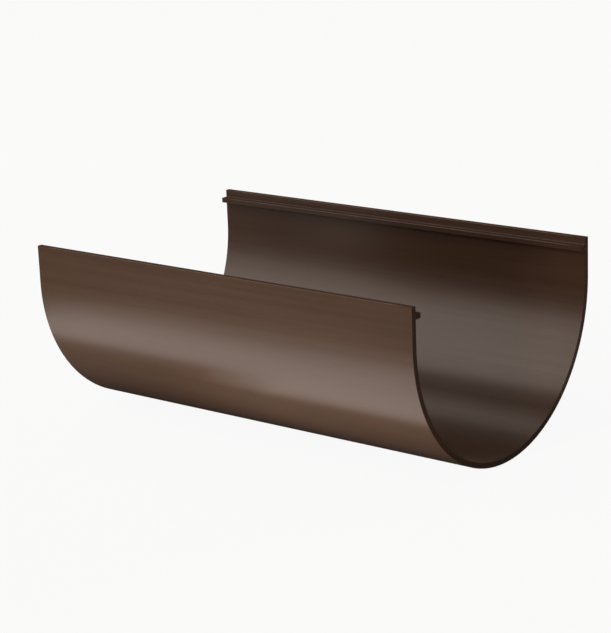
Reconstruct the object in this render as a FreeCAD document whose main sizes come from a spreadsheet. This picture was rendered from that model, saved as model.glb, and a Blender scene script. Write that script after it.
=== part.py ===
import FreeCAD, Part
import math
import os

import Sketcher

# Half-round rain gutter: one extruded length of rigid plastic, open at the top, sawn square at both ends.
#
# Frame, in millimetres: X runs along the length, from the middle of the section.
# Y runs across it, with the front wall on -Y and the back wall on +Y.
# Z points up from the lowest line of the round bottom, so the part rests on z = 0.

doc = FreeCAD.newDocument("GutterSection")

# Driving sizes

SIZES = {
    "section_length": (184.0, "cut length along X"),
    "outer_width": (120.0, "across the outsides of the two walls, twice the radius of the bottom"),
    "outer_depth": (75.5, "from the bottom to the rims"),
    "wall": (2.3, "thickness of the walls and the bottom, the same all round"),
    "rib_drop": (3.0, "from a rim down to the tip of its rib"),
    "rib_tip": (2.05, "height of the blunt tip of a rib"),
    "rib_reach": (3.0, "how far a rib stands in from the inner wall"),
    "rib_slope": (0.8, "how much taller a rib is at its root than at its tip"),
    "edge_round": (0.2, "radius on the edges of the rims and of the rib tips"),
    "root_round": (0.2, "radius in the corners where a rib meets the wall"),
}

sheet = doc.addObject("Spreadsheet::Sheet", "Sizes")
for row, (alias, (value, meaning)) in enumerate(SIZES.items(), start=1):
    sheet.set(f"A{row}", alias)
    sheet.set(f"B{row}", str(value))
    sheet.set(f"C{row}", meaning)
    sheet.setAlias(f"B{row}", alias)
doc.recompute()

RADIUS = "Sizes.outer_width / 2"
INNER_RADIUS = "Sizes.outer_width / 2 - Sizes.wall"

# Ends of a sketch line or arc, and the origin of a sketch, as constraints name them

START, END, CENTRE = 1, 2, 3
ORIGIN = (-1, START)
UPRIGHT_AXIS = -2


def section_sketch(body, name):
    """An empty sketch across the length: its x is the part's Y, and its y is the part's Z."""
    sketch = body.newObject("Sketcher::SketchObject", name)
    planes = [plane for plane in body.Origin.OriginFeatures if plane.Role == "YZ_Plane"]
    sketch.AttachmentSupport = (planes[0], [""])
    sketch.MapMode = "FlatFace"
    return sketch


def add_line(sketch, start, end):
    """A straight line between two points of the sketch, and its number there."""
    return sketch.addGeometry(Part.LineSegment(FreeCAD.Vector(*start), FreeCAD.Vector(*end)))


def add_lower_half_circle(sketch, centre_height, radius):
    """The lower half of a circle about a point of the upright axis, from its front end to its back end."""
    circle = Part.Circle(FreeCAD.Vector(0, centre_height), FreeCAD.Vector(0, 0, 1), radius)
    return sketch.addGeometry(Part.ArcOfCircle(circle, math.pi, 2 * math.pi))


def fix(sketch, *constraint):
    """Add one geometric constraint."""
    sketch.addConstraint(Sketcher.Constraint(*constraint))


def bind(sketch, name, expression, kind, *places):
    """Add one dimension, name it, and tie it to the sheet."""
    value = float(sheet.evalExpression(expression))
    index = sketch.addConstraint(Sketcher.Constraint(kind, *places, value))
    sketch.renameConstraint(index, name)
    sketch.setExpression(f"Constraints.{name}", expression)


def pad_along_length(body, sketch, name):
    """Extrude a section sketch by half the length to each side."""
    pad = body.newObject("PartDesign::Pad", name)
    pad.Profile = sketch
    pad.SideType = "Symmetric"
    pad.setExpression("Length", "Sizes.section_length")
    sketch.Visibility = False
    return pad


# Trough: two straight walls that run tangent into a half-round bottom, all of one thickness


def draw_trough(body):
    """The U-shaped section: an outer and an inner half circle about one centre, walls and flat rims."""
    radius = sheet.outer_width / 2
    inner = radius - sheet.wall
    depth = sheet.outer_depth
    sketch = section_sketch(body, "TroughSection")

    bottom = add_lower_half_circle(sketch, radius, radius)
    inside = add_lower_half_circle(sketch, radius, inner)
    front_outer = add_line(sketch, (-radius, radius), (-radius, depth))
    front_rim = add_line(sketch, (-radius, depth), (-inner, depth))
    front_inner = add_line(sketch, (-inner, depth), (-inner, radius))
    back_inner = add_line(sketch, (inner, radius), (inner, depth))
    back_rim = add_line(sketch, (inner, depth), (radius, depth))
    back_outer = add_line(sketch, (radius, depth), (radius, radius))

    fix(sketch, "Tangent", bottom, START, front_outer, START)
    fix(sketch, "Tangent", bottom, END, back_outer, END)
    fix(sketch, "Tangent", inside, START, front_inner, END)
    fix(sketch, "Tangent", inside, END, back_inner, START)
    fix(sketch, "Coincident", front_outer, END, front_rim, START)
    fix(sketch, "Coincident", front_rim, END, front_inner, START)
    fix(sketch, "Coincident", back_inner, END, back_rim, START)
    fix(sketch, "Coincident", back_rim, END, back_outer, START)
    fix(sketch, "Coincident", bottom, CENTRE, inside, CENTRE)
    fix(sketch, "PointOnObject", bottom, CENTRE, UPRIGHT_AXIS)
    for upright in (front_outer, front_inner, back_inner, back_outer):
        fix(sketch, "Vertical", upright)
    for rim in (front_rim, back_rim):
        fix(sketch, "Horizontal", rim)

    bind(sketch, "outer_radius", RADIUS, "Radius", bottom)
    bind(sketch, "centre_height", RADIUS, "DistanceY", *ORIGIN, bottom, CENTRE)
    bind(sketch, "rim_thickness", "Sizes.wall", "DistanceX", front_rim, START, front_rim, END)
    bind(sketch, "front_depth", "Sizes.outer_depth", "DistanceY", *ORIGIN, front_outer, END)
    bind(sketch, "back_depth", "Sizes.outer_depth", "DistanceY", *ORIGIN, back_outer, START)
    rim_corners = [(front_rim, START), (front_rim, END), (back_rim, START), (back_rim, END)]
    return sketch, rim_corners


# Ribs: a blunt rib inside each rim, which the hooks of the brackets and unions snap behind.
# One face of a rib is level and square to the wall, and the other slopes, as the lead-in for the hook.
# The front rib slopes on top, where a hook is pushed down over the rim, and catches it underneath.
# The back rib is the same rib turned over: it is level on top and slopes underneath.

FRONT, BACK = -1, 1


def draw_rib(body, name, side):
    """A rib's section on the front or the back wall: root on the inner wall, tip towards the middle."""
    root = side * (sheet.outer_width / 2 - sheet.wall)
    tip = root - side * sheet.rib_reach
    top = sheet.outer_depth - sheet.rib_drop
    under = top - sheet.rib_tip
    root_top = top + (sheet.rib_slope if side == FRONT else 0)
    root_under = under - (sheet.rib_slope if side == BACK else 0)
    sketch = section_sketch(body, name)

    top_face = add_line(sketch, (root, root_top), (tip, top))
    tip_face = add_line(sketch, (tip, top), (tip, under))
    under_face = add_line(sketch, (tip, under), (root, root_under))
    root_face = add_line(sketch, (root, root_under), (root, root_top))
    outline = [top_face, tip_face, under_face, root_face]
    for this_line, next_line in zip(outline, outline[1:] + outline[:1]):
        fix(sketch, "Coincident", this_line, END, next_line, START)
    for upright in (tip_face, root_face):
        fix(sketch, "Vertical", upright)

    tip_top, tip_under = (tip_face, START), (tip_face, END)
    root_up, root_low = (root_face, END), (root_face, START)
    if side == FRONT:
        fix(sketch, "Horizontal", under_face)
        bind(sketch, "rib_slope", "Sizes.rib_slope", "DistanceY", *tip_top, *root_up)
        bind(sketch, "wall_place", INNER_RADIUS, "DistanceX", *root_up, *ORIGIN)
        bind(sketch, "rib_reach", "Sizes.rib_reach", "DistanceX", *root_up, *tip_top)
    else:
        fix(sketch, "Horizontal", top_face)
        bind(sketch, "rib_slope", "Sizes.rib_slope", "DistanceY", *root_low, *tip_under)
        bind(sketch, "wall_place", INNER_RADIUS, "DistanceX", *ORIGIN, *root_up)
        bind(sketch, "rib_reach", "Sizes.rib_reach", "DistanceX", *tip_top, *root_up)
    tip_height = "Sizes.outer_depth - Sizes.rib_drop"
    bind(sketch, "tip_height", tip_height, "DistanceY", *ORIGIN, *tip_top)
    bind(sketch, "rib_tip", "Sizes.rib_tip", "DistanceY", *tip_under, *tip_top)
    return sketch, [tip_top, tip_under], [root_up, root_low]


# Roundings: the die leaves a small radius on every long edge and in every long corner

SAME_PLACE = 0.001


def long_edges(solid, sketch, corners):
    """Names of the edges of a solid that run along the length through the given corners of a sketch."""
    names = []
    for corner in corners:
        place = sketch.getPoint(*corner)
        for number, edge in enumerate(solid.Edges, start=1):
            ends = [vertex.Point for vertex in edge.Vertexes]
            misses = [math.hypot(end.y - place.x, end.z - place.y) for end in ends]
            if len(ends) == 2 and max(misses) < SAME_PLACE:
                names.append(f"Edge{number}")
    if len(names) != len(corners):
        raise RuntimeError(f"{sketch.Label}: {len(corners)} corners, but {len(names)} long edges")
    return names


def round_edges(body, name, radius, corners_of):
    """Round the long edges through the corners of several sketches of the body."""
    doc.recompute()
    base = body.Tip
    names = []
    for sketch, corners in corners_of:
        names += long_edges(base.Shape, sketch, corners)
    fillet = body.newObject("PartDesign::Fillet", name)
    fillet.Base = (base, names)
    fillet.setExpression("Radius", radius)
    return fillet


# Gutter section, the one piece

gutter = doc.addObject("PartDesign::Body", "GutterSectionBody")
gutter.Label = "gutter_section"
gutter.Placement = FreeCAD.Placement()

trough, rim_corners = draw_trough(gutter)
pad_along_length(gutter, trough, "Trough")
front_rib, front_tips, front_roots = draw_rib(gutter, "FrontRibSection", FRONT)
pad_along_length(gutter, front_rib, "FrontRib")
back_rib, back_tips, back_roots = draw_rib(gutter, "BackRibSection", BACK)
pad_along_length(gutter, back_rib, "BackRib")
round_edges(
    gutter,
    "RibRoots",
    "Sizes.root_round",
    [(front_rib, front_roots), (back_rib, back_roots)],
)
round_edges(
    gutter,
    "OuterEdges",
    "Sizes.edge_round",
    [(trough, rim_corners), (front_rib, front_tips), (back_rib, back_tips)],
)
doc.recompute()

# Every object has to be sound, and every sketch fully set by its sizes, before anything is written

faults = [f"{item.Label}: {item.State}" for item in doc.Objects if {"Invalid", "Error"} & set(item.State)]
faults += [
    f"{sketch.Label} is not fully constrained"
    for sketch in (trough, front_rib, back_rib)
    if sketch.solve() != 0 or not sketch.FullyConstrained
]
if gutter.Shape.isNull() or not gutter.Shape.isValid() or len(gutter.Shape.Solids) != 1:
    faults.append("gutter_section is not one valid solid")
if faults:
    raise RuntimeError("; ".join(faults))

os.makedirs("parts", exist_ok=True)
gutter.Shape.exportStep(os.path.join("parts", gutter.Label + ".step"))

box = gutter.Shape.BoundBox
print(f"{gutter.Label}: {box.XLength:.2f} x {box.YLength:.2f} x {box.ZLength:.2f} mm")
print(f"lowest {box.ZMin:.3f}, volume {gutter.Shape.Volume / 1000:.2f} cm3, faces {len(gutter.Shape.Faces)}")
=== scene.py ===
# %% [markdown]
# A half-round rain gutter, dressed for its portrait
#
# The real thing is one extruded length of brown plastic: hot plastic is pushed through a die,
# which gives the same section from end to end, and a saw cuts it to length.
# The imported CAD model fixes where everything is, so it is loaded first and never moved.
# Everything here is in metres: X runs along the gutter, Y from its front wall to its back wall, Z up.

# %% Load the frame
import math

import bpy
import numpy as np
from mathutils import Matrix, Vector


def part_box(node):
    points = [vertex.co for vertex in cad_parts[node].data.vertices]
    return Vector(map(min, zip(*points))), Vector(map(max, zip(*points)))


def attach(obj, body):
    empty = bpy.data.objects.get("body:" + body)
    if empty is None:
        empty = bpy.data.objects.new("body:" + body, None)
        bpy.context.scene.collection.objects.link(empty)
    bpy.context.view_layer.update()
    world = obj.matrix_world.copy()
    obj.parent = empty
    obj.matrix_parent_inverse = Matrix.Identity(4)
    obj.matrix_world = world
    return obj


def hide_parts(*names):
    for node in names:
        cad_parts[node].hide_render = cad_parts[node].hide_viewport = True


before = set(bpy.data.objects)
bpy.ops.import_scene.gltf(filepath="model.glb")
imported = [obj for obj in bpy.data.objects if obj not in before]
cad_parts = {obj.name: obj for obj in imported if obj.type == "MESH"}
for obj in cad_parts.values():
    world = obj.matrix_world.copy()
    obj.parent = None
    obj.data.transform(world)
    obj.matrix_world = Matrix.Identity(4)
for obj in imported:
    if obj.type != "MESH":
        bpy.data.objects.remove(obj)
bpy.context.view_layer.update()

NODE = "gutter_section"
low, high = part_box(NODE)
print("CAD box, mm:", [round(1000 * v, 2) for v in (*low, *high)])

# %% [markdown]
# The sizes
#
# The length, the width and the depth come from the CAD box, so the new skin can't drift from it.
# The wall and the ribs are repeated as real sizes, because a box can't show them.

# %% Sizes of the section
MM = 0.001
length = high.x - low.x
half_length = length / 2
radius = (high.y - low.y) / 2
depth = high.z
wall = 2.3 * MM
inner_radius = radius - wall
rib_drop = 3.0 * MM
rib_tip = 2.05 * MM
rib_reach = 3.0 * MM
rib_slope = 0.8 * MM
edge_round = 0.2 * MM
print(f"length {length:.3f}, outer radius {radius:.4f}, depth {depth:.4f}")

# %% [markdown]
# The outline of the section
#
# The section is a closed loop that starts at the top of the front arc and runs anticlockwise:
# under the trough, up the back wall, over its rim, down past the back rib, along the inside of the
# bottom, and up past the front rib. Two pieces make it: half circles, and straight runs with
# rounded corners. Rounding the corners in the outline, and not with a bevel later, keeps the small
# radii of the die exact.


# %% Half circles and rounded corners
def half_circle(centre_height, r, start, end, steps):
    """Points of a circle: centre plus radius times (cosine, sine) of evenly spaced angles."""
    angle = np.linspace(start, end, steps + 1)
    return np.column_stack([r * np.cos(angle), centre_height + r * np.sin(angle)])


def round_corner(before, corner, after, r, steps):
    """An arc of radius r that touches both sides of a corner.

    It starts r times tan(half the turn) before the corner. Its points swing from the first
    touching point to the last by the arc formula: weights sin((1-k)a)/sin(a) and sin(k a)/sin(a)."""
    incoming = (corner - before) / np.linalg.norm(corner - before)
    outgoing = (after - corner) / np.linalg.norm(after - corner)
    turn = math.acos(float(np.clip(incoming @ outgoing, -1, 1)))
    inward = (outgoing - incoming) / np.linalg.norm(outgoing - incoming)
    centre = corner + inward * r / math.cos(turn / 2)
    reach = r * math.tan(turn / 2)
    first = corner - incoming * reach - centre
    last = corner + outgoing * reach - centre
    k = np.linspace(0, 1, steps + 1)[:, None]
    return centre + (np.sin((1 - k) * turn) * first + np.sin(k * turn) * last) / math.sin(turn)


def rounded_run(points, r, steps):
    """A straight-sided run with every corner between its two ends rounded."""
    points = np.array(points, float)
    arcs = [
        round_corner(points[i - 1], points[i], points[i + 1], r, steps)
        for i in range(1, len(points) - 1)
    ]
    return np.concatenate(arcs)


# %% The closed outline
FRONT, BACK = -1, 1
ARC_STEPS = 120
CORNER_STEPS = 5


def wall_corners(side):
    """Corners of one wall, from the top of the outer arc over the rim and past the rib.

    The front rib slopes on top, the back one underneath."""
    tip = side * (inner_radius - rib_reach)
    top = depth - rib_drop
    under = top - rib_tip
    return [
        (side * radius, radius),
        (side * radius, depth),
        (side * inner_radius, depth),
        (side * inner_radius, top + (rib_slope if side == FRONT else 0)),
        (tip, top),
        (tip, under),
        (side * inner_radius, under - (rib_slope if side == BACK else 0)),
        (side * inner_radius, radius),
    ]


outline = np.concatenate(
    [
        half_circle(radius, radius, math.pi, 2 * math.pi, ARC_STEPS),
        rounded_run(wall_corners(BACK), edge_round, CORNER_STEPS),
        half_circle(radius, inner_radius, 2 * math.pi, math.pi, ARC_STEPS),
        rounded_run(wall_corners(FRONT)[::-1], edge_round, CORNER_STEPS),
    ]
)
y, z = outline.T
area = 0.5 * np.sum(y * np.roll(z, -1) - np.roll(y, -1) * z)
print(f"outline: {len(outline)} points, section {area * 1e6:.1f} mm2")

# %% [markdown]
# The skin
#
# The outline is carried along X. The grid has one row of points for each station along the length,
# and one column for each point of the outline. At both ends the saw leaves a tiny broken edge, so
# the last station is drawn in along the outline's own normals. Each end is closed by one flat face.


# %% Carry the outline along the length
def outward_normals(loop):
    """Unit normals of a closed loop that runs anticlockwise: its tangent turned a quarter right."""
    tangent = np.roll(loop, -1, axis=0) - np.roll(loop, 1, axis=0)
    tangent /= np.linalg.norm(tangent, axis=1)[:, None]
    return np.column_stack([tangent[:, 1], -tangent[:, 0]])


def carry_outline(loop, stations, insets):
    """Points on a grid: point(j, i) = (station j, loop i minus inset j times normal i)."""
    section = loop[None, :, :] - insets[:, None, None] * outward_normals(loop)[None, :, :]
    along = np.broadcast_to(stations[:, None, None], (*section.shape[:2], 1))
    return np.concatenate([along, section], axis=2)


def tube_faces(rows, columns):
    """Quads of a grid that closes on itself in its columns, with their outer side outwards."""
    j, i = np.meshgrid(np.arange(rows - 1), np.arange(columns), indexing="ij")
    after = (i + 1) % columns
    here, ahead = j * columns, (j + 1) * columns
    return np.stack([here + i, here + after, ahead + after, ahead + i], axis=-1).reshape(-1, 4)


broken_edge = 0.12 * MM
BODY_STATIONS = 24
body = np.linspace(broken_edge - half_length, half_length - broken_edge, BODY_STATIONS)
stations = np.concatenate([[-half_length], body, [half_length]])
insets = np.zeros(len(stations))
insets[[0, -1]] = broken_edge
grid = carry_outline(outline, stations, insets)
rows, columns = grid.shape[:2]
quads = tube_faces(rows, columns)
left_end = np.arange(columns)[::-1]
right_end = (rows - 1) * columns + np.arange(columns)

mesh = bpy.data.meshes.new("gutter_skin")
faces = [*quads.tolist(), left_end.tolist(), right_end.tolist()]
mesh.from_pydata(grid.reshape(-1, 3), [], faces)
mesh.polygons.foreach_set("use_smooth", np.arange(len(mesh.polygons)) < len(quads))
SKIN, SAWN = 0, 1
finish = np.full(len(mesh.polygons), SKIN)
finish[:columns] = SAWN
finish[len(quads) - columns :] = SAWN
mesh.polygons.foreach_set("material_index", finish)
mesh.update()
print(f"skin: {len(mesh.vertices)} points, {len(mesh.polygons)} faces")

# %% Put the skin in place of the CAD node
gutter = bpy.data.objects.new("gutter_skin", mesh)
bpy.context.scene.collection.objects.link(gutter)
flats = gutter.modifiers.new("keep flats flat", "WEIGHTED_NORMAL")
flats.mode = "FACE_AREA"
flats.keep_sharp = True
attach(gutter, "root")
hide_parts(NODE)

# %% [markdown]
# Finishes are small graphs
#
# A node material is a graph of small steps, and a few helpers keep it short. One adds a node and
# joins its inputs. Another makes noise whose lumps have a real size along each axis: the object's own
# coordinates are divided by that size, so a long size along X draws the noise out into streaks.
# Most values of such noise lie between 0.3 and 0.7, and each finish stretches that to what it needs.


# %% Helpers for node materials
NOISE_SPREAD = (0.3, 0.7)

# A Mix node has sockets for numbers, vectors and colours. These are the ones that colours use.
MIX_FACTOR, MIX_FIRST, MIX_SECOND, MIX_RESULT = 0, 6, 7, 2


def new_material(name):
    """A node material: the material, its tree and its Principled shader."""
    material = bpy.data.materials.new(name)
    material.use_nodes = True
    tree = material.node_tree
    return material, tree, tree.nodes["Principled BSDF"]


def feed(tree, socket, value):
    """Join another node's output to a socket, or write a number there."""
    if isinstance(value, bpy.types.NodeSocket):
        tree.links.new(value, socket)
    else:
        socket.default_value = value


def add_node(tree, kind, inputs, **settings):
    """A node with its settings, and its inputs given as numbers or as other nodes' outputs."""
    node = tree.nodes.new(kind)
    for name, value in settings.items():
        setattr(node, name, value)
    for name, value in inputs.items():
        feed(tree, node.inputs[name], value)
    return node


def object_place(tree):
    """The place on the object, in metres."""
    return add_node(tree, "ShaderNodeTexCoord", {}).outputs["Object"]


def lumps(tree, size, detail=2.0):
    """Noise around 0.5 whose lumps measure size = (x, y, z): coordinates divided by size."""
    scale = tuple(1 / s for s in size)
    inputs = {"Vector": object_place(tree), "Scale": scale}
    mapped = add_node(tree, "ShaderNodeMapping", inputs).outputs[0]
    inputs = {"Vector": mapped, "Scale": 1.0, "Detail": detail}
    return add_node(tree, "ShaderNodeTexNoise", inputs).outputs[0]


def stretch(tree, value, old, new):
    """Map the range old onto the range new, and hold the ends."""
    inputs = {"Value": value}
    inputs.update({"From Min": old[0], "From Max": old[1], "To Min": new[0], "To Max": new[1]})
    return add_node(tree, "ShaderNodeMapRange", inputs).outputs[0]


def combine(tree, operation, first, second):
    """One arithmetic step on two values."""
    node = add_node(tree, "ShaderNodeMath", {}, operation=operation)
    for socket, value in zip(node.inputs, (first, second)):
        feed(tree, socket, value)
    return node.outputs[0]


def mix_colours(tree, factor, first, second):
    """The first colour where the factor is 0, the second where it is 1."""
    node = add_node(tree, "ShaderNodeMix", {}, data_type="RGBA")
    feed(tree, node.inputs[MIX_FACTOR], factor)
    feed(tree, node.inputs[MIX_FIRST], first)
    feed(tree, node.inputs[MIX_SECOND], (*second, 1))
    return node.outputs[MIX_RESULT]


def bump(tree, pattern, height, normal=None):
    """Push the surface out by the pattern times the height, on top of an earlier bump."""
    inputs = {"Height": pattern, "Distance": height}
    if normal is not None:
        inputs["Normal"] = normal
    return add_node(tree, "ShaderNodeBump", inputs).outputs[0]


def colour_ramp(tree, factor, stops):
    """Colours spread over a factor: stops are (place, colour) pairs."""
    node = add_node(tree, "ShaderNodeValToRGB", {"Fac": factor})
    ramp = node.color_ramp
    while len(ramp.elements) < len(stops):
        ramp.elements.new(0.5)
    for element, (place, colour) in zip(ramp.elements, stops):
        element.position = place
        element.color = (*colour, 1)
    return node.outputs[0]


# %% [markdown]
# The skin of the extrusion
#
# Brown rigid plastic comes out of the die smooth and satin, and is the same colour all through.
# Close to, it isn't quite even: the pigment clouds a little, the melt leaves faint streaks along
# the length, the die's lips draw hair-fine lines, and the skin has a very slight orange peel.
# Clouds and streaks go into the colour, and the streaks into the roughness too. Lines, peel and a
# slow waviness are bumps of 0.003 to 0.04 mm, so they show only where a highlight crosses them.
# The rims are handled most, so their edges are a little scuffed. Seen at a glancing angle, a plain
# satin skin would mirror the table like a pale strip. On the real plastic its fine grain breaks
# that up, so the roughness rises there: Layer Weight tells how far a place turns from the eye.

# %% Brown plastic, extruded
DARK_BROWN = (0.074, 0.0390, 0.0234)
BROWN = (0.080, 0.0425, 0.0258)
LIGHT_BROWN = (0.087, 0.0467, 0.0287)
SCUFFED_BROWN = (0.120, 0.075, 0.052)
SHADE_SPREAD = (0.75, 1.25)
SATIN = (0.28, 0.33)
PLASTIC_GLOSS = 0.45
SCUFF_DEPTH = 0.4 * MM
SCUFF_SPREAD = (0.5, 0.75)
MOST_SCUFF = 0.6
SCUFF_ROUGHNESS = 0.3
GLANCING = (0.58, 0.80)
GLANCING_GRAIN = 0.45
CLOUD_SIZE = (45 * MM, 14 * MM, 14 * MM)
STREAK_SIZE = (160 * MM, 1.6 * MM, 1.6 * MM)
SCUFF_SIZE = (5 * MM, 1 * MM, 1 * MM)
WAVE_SIZE, WAVE_HEIGHT = (70 * MM, 16 * MM, 16 * MM), 0.04 * MM
PEEL_SIZE, PEEL_HEIGHT = (2.4 * MM, 1.8 * MM, 1.8 * MM), 0.008 * MM
DIE_LINE_SIZE, DIE_LINE_HEIGHT = (250 * MM, 0.5 * MM, 0.5 * MM), 0.003 * MM

plastic, tree, shader = new_material("brown_plastic_skin")
clouds = lumps(tree, CLOUD_SIZE, detail=3.0)
streaks = lumps(tree, STREAK_SIZE, detail=3.0)
shade = stretch(tree, combine(tree, "ADD", clouds, streaks), SHADE_SPREAD, (0, 1))
colour = colour_ramp(tree, shade, [(0, DARK_BROWN), (0.5, BROWN), (1, LIGHT_BROWN)])

height = add_node(tree, "ShaderNodeSeparateXYZ", {"Vector": object_place(tree)}).outputs["Z"]
at_rim = stretch(tree, height, (depth - SCUFF_DEPTH, depth), (0, 1))
rubbed = stretch(tree, lumps(tree, SCUFF_SIZE, detail=4.0), SCUFF_SPREAD, (0, MOST_SCUFF))
scuff = combine(tree, "MULTIPLY", at_rim, rubbed)
tree.links.new(mix_colours(tree, scuff, colour, SCUFFED_BROWN), shader.inputs["Base Color"])

sheen = stretch(tree, streaks, NOISE_SPREAD, SATIN)
sheen = combine(tree, "ADD", sheen, combine(tree, "MULTIPLY", scuff, SCUFF_ROUGHNESS))
turned_away = add_node(tree, "ShaderNodeLayerWeight", {"Blend": 0.5}).outputs["Facing"]
grain = stretch(tree, turned_away, GLANCING, (0, GLANCING_GRAIN))
tree.links.new(combine(tree, "ADD", sheen, grain), shader.inputs["Roughness"])
shader.inputs["Specular IOR Level"].default_value = PLASTIC_GLOSS

waves = lumps(tree, WAVE_SIZE)
peel = lumps(tree, PEEL_SIZE)
die_lines = lumps(tree, DIE_LINE_SIZE)
normal = bump(tree, waves, WAVE_HEIGHT)
normal = bump(tree, peel, PEEL_HEIGHT, normal)
normal = bump(tree, die_lines, DIE_LINE_HEIGHT, normal)
tree.links.new(normal, shader.inputs["Normal"])
mesh.materials.append(plastic)
print(f"{plastic.name}: {len(tree.nodes)} nodes")

# %% [markdown]
# The sawn ends
#
# A circular saw cuts the length square. Its teeth sweep across the end in wide arcs and leave fine
# scratches with the same curve, so the cut is matt and a little uneven in colour. Rings about the
# place where the saw's axle was give these arcs: a wave that depends only on the distance from it.

# %% Brown plastic, sawn
# The cut face is coloured darker than the skin: painted shade, because the end in view faces away
# from the main lamps.
SHADED_SAWN_DARK = (0.052, 0.0252, 0.0142)
SHADED_SAWN_LIGHT = (0.072, 0.0360, 0.0210)
CUT_SPREAD = (0.3, 1.4)
SAWN_ROUGHNESS = (0.62, 0.82)
SAWN_GLOSS = 0.1
SAW_AXLE = (0.0, 40 * MM, 190 * MM)
SCRATCH_PITCH = 0.55 * MM
SCRATCH_HEIGHT = 0.012 * MM
CRUMB_SIZE = (0.5 * MM, 0.5 * MM, 0.5 * MM)
CRUMB_HEIGHT = 0.02 * MM
WAVE_UNIT = math.tau / 20  # the length of one wave of the Wave Texture at scale 1

sawn, tree, shader = new_material("brown_plastic_sawn_shaded")
to_axle = {"Vector": object_place(tree), "Location": tuple(-c for c in SAW_AXLE)}
from_axle = add_node(tree, "ShaderNodeMapping", to_axle).outputs[0]
rings = {"Vector": from_axle, "Scale": WAVE_UNIT / SCRATCH_PITCH, "Distortion": 2.5}
rings.update({"Detail": 3.0, "Detail Scale": 0.4, "Detail Roughness": 0.6})
scratches = add_node(tree, "ShaderNodeTexWave", rings, wave_type="RINGS", rings_direction="X")
scratches = scratches.outputs["Fac"]
crumbs = lumps(tree, CRUMB_SIZE, detail=4.0)
shade = stretch(tree, combine(tree, "ADD", scratches, crumbs), CUT_SPREAD, (0, 1))
# Painted shade: both browns of the cut are darker than the skin's own brown, and the scratches vary
# the colour between them.
colour = colour_ramp(tree, shade, [(0, SHADED_SAWN_DARK), (1, SHADED_SAWN_LIGHT)])
tree.links.new(colour, shader.inputs["Base Color"])
tree.links.new(stretch(tree, crumbs, NOISE_SPREAD, SAWN_ROUGHNESS), shader.inputs["Roughness"])
shader.inputs["Specular IOR Level"].default_value = SAWN_GLOSS
normal = bump(tree, scratches, SCRATCH_HEIGHT)
normal = bump(tree, crumbs, CRUMB_HEIGHT, normal)
tree.links.new(normal, shader.inputs["Normal"])
mesh.materials.append(sawn)
print(f"{sawn.name}: {len(tree.nodes)} nodes")

# %% [markdown]
# The floor and the backdrop
#
# The piece lies on a wide pale floor, which is also the backdrop. To the camera it is white paper:
# for rays that come straight from the camera, a white glow of strength 1 is mixed in, so no lamp has
# to be turned up for it. The rest of the mix is an ordinary matt floor, which keeps the shadow of the
# piece. All other rays meet a mid grey floor with hardly any glow. A white one would throw so much
# light up at the round bottom that it lost its shading, and the satin skin would look washed out.

# %% Floor
FLOOR_SIZE = 8.0
FLOOR_GREY = (0.40, 0.40, 0.40)
FLOOR_WHITE = (0.90, 0.90, 0.90)
WHITE_GLOW = 1.0
SEEN_SHARE = 0.93
MIRRORED_SHARE = 0.02


def backdrop_share(tree):
    """How much of the white glow a ray meets: a large share if seen, and a small one if mirrored."""
    rays = add_node(tree, "ShaderNodeLightPath", {}).outputs
    seen = combine(tree, "MAXIMUM", rays["Is Camera Ray"], rays["Is Transmission Ray"])
    seen = combine(tree, "MULTIPLY", seen, SEEN_SHARE)
    mirrored = combine(tree, "MULTIPLY", rays["Is Glossy Ray"], MIRRORED_SHARE)
    return combine(tree, "MAXIMUM", seen, mirrored)


edge = FLOOR_SIZE / 2
corners = [(-edge, -edge, 0), (edge, -edge, 0), (edge, edge, 0), (-edge, edge, 0)]
floor_mesh = bpy.data.meshes.new("floor")
floor_mesh.from_pydata(corners, [], [(0, 1, 2, 3)])
floor = bpy.data.objects.new("floor", floor_mesh)
bpy.context.scene.collection.objects.link(floor)

paper, tree, shader = new_material("pale_floor")
seen = add_node(tree, "ShaderNodeLightPath", {}).outputs["Is Camera Ray"]
grey = add_node(tree, "ShaderNodeRGB", {})
grey.outputs[0].default_value = (*FLOOR_GREY, 1)
tree.links.new(mix_colours(tree, seen, grey.outputs[0], FLOOR_WHITE), shader.inputs["Base Color"])
shader.inputs["Roughness"].default_value = 1.0
shader.inputs["Specular IOR Level"].default_value = 0.0
glow = add_node(tree, "ShaderNodeEmission", {"Color": (1, 1, 1, 1), "Strength": WHITE_GLOW})
mix = add_node(tree, "ShaderNodeMixShader", {"Fac": backdrop_share(tree)})
tree.links.new(shader.outputs[0], mix.inputs[1])
tree.links.new(glow.outputs[0], mix.inputs[2])
tree.links.new(mix.outputs[0], tree.nodes["Material Output"].inputs["Surface"])
floor_mesh.materials.append(paper)
print(f"floor: {FLOOR_SIZE} m square")

# %% [markdown]
# The light
#
# A satin curve shows its lamps as soft bands, so the lamps are placed by what each part of the
# section mirrors. Along a straight extrusion every mirrored ray keeps its share of X, so all of them
# lie on one cone about X, and a long lamp across that cone gives a band along the whole length.
# The tall softbox at the front left makes the broad band inside the far wall, and lights the front.
# A dim lamp low at the left lies next to it on the cone. Only the left half of the far wall sees it,
# past the end of the near wall, and there it gives the band a soft fade at its top. A lamp high at
# the back left makes the faint band below. The last two are plain fills: a wide one for the back, and
# a weak one for the right end.


# %% Lamps round the piece
WARM_WHITE = (1.0, 0.87, 0.77)
MIDDLE = Vector((0, 0, 40 * MM))
LAMP_DISTANCE = 2.6


def soft_lamp(name, place, size, brightness, colour=WARM_WHITE):
    """A rectangular lamp, size = (width, height): its power is 4 x brightness x area."""
    width, height = size
    lamp = bpy.data.lights.new(name, "AREA")
    lamp.shape = "RECTANGLE"
    lamp.size = width
    lamp.size_y = height
    lamp.color = colour
    lamp.energy = 4 * brightness * width * height
    holder = bpy.data.objects.new(name, lamp)
    holder.matrix_world = place
    holder.visible_camera = False
    bpy.context.scene.collection.objects.link(holder)
    print(f"{name}: {1000 * width:.0f} x {1000 * height:.0f} mm, {lamp.energy:.2f} W")


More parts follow.
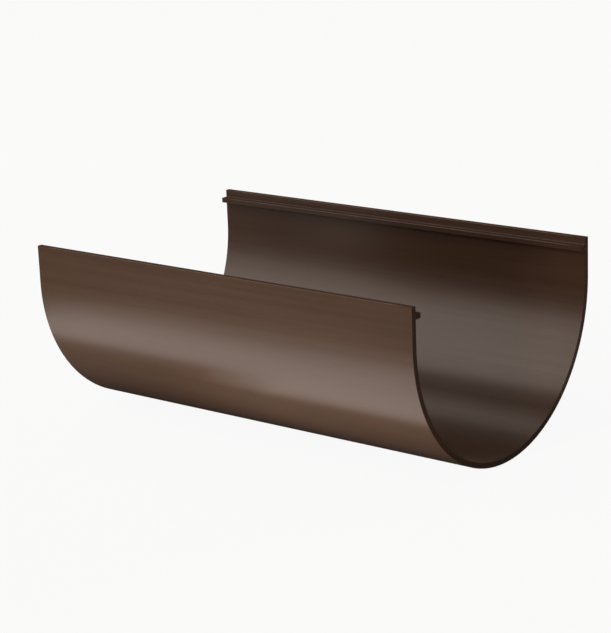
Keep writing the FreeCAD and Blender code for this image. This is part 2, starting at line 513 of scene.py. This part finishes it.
def facing_middle(direction, lean):
    """A place on a sphere about the middle, turned to face it, with its height along lean."""
    outward = Vector(direction).normalized()
    across = Vector(lean).cross(outward).normalized()
    along = outward.cross(across)
    turn = Matrix((across, along, outward)).transposed().to_4x4()
    return Matrix.Translation(MIDDLE + outward * LAMP_DISTANCE) @ turn


SOFTBOX_LEAN = (0, 0.7, 0.7)
HIGH_LAMP_LEAN = (0, 0.94, -0.34)
UPRIGHT = (0, 0, 1)

soft_lamp("softbox", facing_middle((-0.58, -0.57, 0.582), SOFTBOX_LEAN), (1.5, 2.6), 2.36)
soft_lamp("low_left", facing_middle((-0.64, -0.76, 0.08), UPRIGHT), (1.2, 0.45), 0.5)
soft_lamp("high_lamp", facing_middle((-0.6, 0.28, 0.76), HIGH_LAMP_LEAN), (1.2, 0.7), 1.25)
soft_lamp("back_softbox", facing_middle((0.3, 0.93, 0.2), UPRIGHT), (1.6, 0.9), 4.0)
soft_lamp("right_fill", facing_middle((1, -0.3, 0.2), UPRIGHT), (1.0, 1.0), 0.4)

# %% [markdown]
# Lamps for single places
#
# Some places see none of the big lamps. Both ends of the far wall look out past the ends of the
# near wall, to where two low strips stand upright on the table, far in front.
# The lower half of the outer wall looks down at the table. There, three flat pads lie face up, each
# dimmer than the one before: it mirrors them as its bright band, with a soft fade above it. A pad at
# its foot widens the band downwards in the right half, and two short, dimmer ones beside that pad let
# the widening begin softly. One wide pad makes the same band on the back.

# %% Low strips and pads on the table
STRIP_WIDTH = 400 * MM
STRIP_HEIGHT = 150 * MM
STRIP_DISTANCE = 2.2
PAD_WHITE = (1.0, 0.95, 0.89)
PAD_START = 59.4 * MM
PAD_LEVEL = 1.5 * MM


def stand_strip(name, x, brightness):
    """A low lamp that stands upright on the table, far in front, and faces the front wall."""
    middle = Matrix.Translation((x, -STRIP_DISTANCE, STRIP_HEIGHT / 2))
    place = middle @ Matrix.Rotation(math.pi / 2, 4, "X")
    soft_lamp(name, place, (STRIP_WIDTH, STRIP_HEIGHT), brightness)


def lay_pad(name, side, along, across, brightness):
    """A pad that lies face up on the table beside a wall, with its limits in mm.

    along = (left, right) along X, and across = (near, far) outwards from PAD_START, at the wall."""
    left, right = along
    near, far = across
    distance = PAD_START + (near + far) / 2 * MM
    middle = Matrix.Translation(((left + right) / 2 * MM, side * distance, PAD_LEVEL))
    place = middle @ Matrix.Rotation(math.pi, 4, "X")
    soft_lamp(name, place, ((right - left) * MM, (far - near) * MM), brightness, PAD_WHITE)


stand_strip("left_strip", -0.5, 7)
stand_strip("right_strip", 0.5, 30)
lay_pad("foot_start", FRONT, (-34, -20), (-3, 11), 0.5)
lay_pad("foot_step", FRONT, (-20, -6), (-3, 11), 1.0)
lay_pad("foot_pad", FRONT, (-6, 102), (-3, 11), 1.55)
lay_pad("near_pad", FRONT, (-156, 120), (11, 53), 1.6)
lay_pad("middle_pad", FRONT, (-178, 150), (53, 78), 1.1)
lay_pad("far_pad", FRONT, (-186, 150), (78, 143), 0.45)
lay_pad("back_pad", BACK, (-150, 150), (5, 60), 1.2)

# %% Room light and view
ROOM_LIGHT = 0.05
world = bpy.data.worlds.new("studio")
bpy.context.scene.world = world
world.use_nodes = True
tree = world.node_tree
background = tree.nodes["Background"]
background.inputs["Color"].default_value = (1, 1, 1, 1)
strength = stretch(tree, backdrop_share(tree), (0, 1), (ROOM_LIGHT, WHITE_GLOW))
tree.links.new(strength, background.inputs["Strength"])
bpy.context.scene.view_settings.view_transform = "Standard"

# %% [markdown]
# The camera
#
# The place, the turn and the focal length were fitted to the corners of both ends in the picture.

# %% Camera
CAMERA_PLACE = Vector((0.4999, -0.6304, 0.2709))
AZIMUTH = math.radians(38.61)
ELEVATION = math.radians(15.72)
ROLL = math.radians(-2.27)
FOCAL_PIXELS = 2082.7
PICTURE_HEIGHT = 633
SENSOR = 36.0

towards_left = -math.sin(AZIMUTH) * math.cos(ELEVATION)
towards_back = math.cos(AZIMUTH) * math.cos(ELEVATION)
ahead = Vector((towards_left, towards_back, -math.sin(ELEVATION)))
level = Vector((math.cos(AZIMUTH), math.sin(AZIMUTH), 0))
upward = level.cross(ahead)
camera_x = math.cos(ROLL) * level + math.sin(ROLL) * upward
camera_y = -math.sin(ROLL) * level + math.cos(ROLL) * upward
turn = Matrix((camera_x, camera_y, -ahead)).transposed()
camera_data = bpy.data.cameras.new("camera")
camera_data.sensor_width = SENSOR
camera_data.lens = FOCAL_PIXELS * SENSOR / PICTURE_HEIGHT
camera = bpy.data.objects.new("camera", camera_data)
bpy.context.scene.collection.objects.link(camera)
camera.matrix_world = Matrix.Translation(CAMERA_PLACE) @ turn.to_4x4()
bpy.context.scene.camera = camera
print(f"lens {camera_data.lens:.1f} mm")
